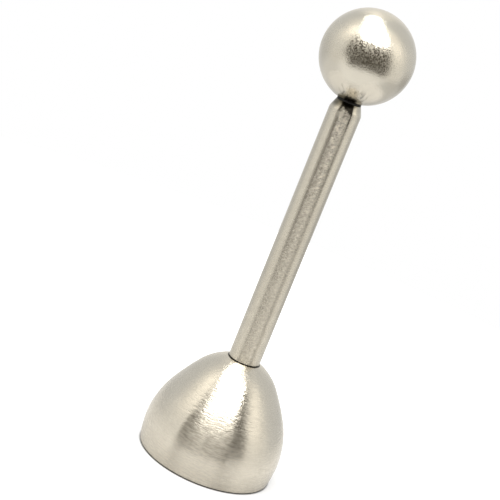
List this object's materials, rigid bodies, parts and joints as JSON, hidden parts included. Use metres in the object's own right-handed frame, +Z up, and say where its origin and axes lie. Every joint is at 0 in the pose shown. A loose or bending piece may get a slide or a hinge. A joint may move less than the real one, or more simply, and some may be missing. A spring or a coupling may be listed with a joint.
{
  "type": "egg topper",
  "caption": "Spring-loaded egg topper: steel bell on a tube handle with a ball knob that pulls out and snaps back to crack a ring in an eggshell.",
  "frame": {"origin": "centre of the bell's rim, which the topper stands on", "axes": "+Z up the handle, from the rim to the ball; round about Z"},
  "size_m": [0.0398, 0.0398, 0.134],
  "materials": {
    "bell_steel": "satin, brushed round the axis",
    "tube_steel": "satin, brushed across",
    "ball_steel": "fine-grained satin",
    "turned_steel": "turned, fine tool marks",
    "rod_steel": "polished",
    "screw_steel": "bright zinc plate",
    "spring_steel": "drawn wire, smooth",
    "bush_brass": "turned, satin",
    "buffer_rubber": "matt black"
  },
  "bodies": {
    "handle": {"bell": "bell_steel", "handle_tube": "tube_steel", "anvil_plug": "turned_steel", "bell_screw": "screw_steel", "lock_washer": "spring_steel", "flat_washer": "screw_steel", "guide_bush": "bush_brass", "return_spring": "spring_steel"},
    "slider": {"spring_seat": "turned_steel"},
    "plunger": {"striker": "turned_steel", "pull_rod": "rod_steel", "buffer_washer": "buffer_rubber", "ball_knob": "ball_steel"}
  },
  "joints": [
    {"name": "pull", "type": "slide", "parent": "handle", "child": "slider", "axis": [0, 0, 1], "range_m": [0, 0.02], "stiffness_N_per_m": 908, "springref_m": -0.007, "deforming": ["return_spring"]},
    {"name": "spin", "type": "hinge", "parent": "slider", "child": "plunger", "pos_m": [0, 0, 0.12], "axis": [0, 0, 1], "continuous": true}
  ]
}
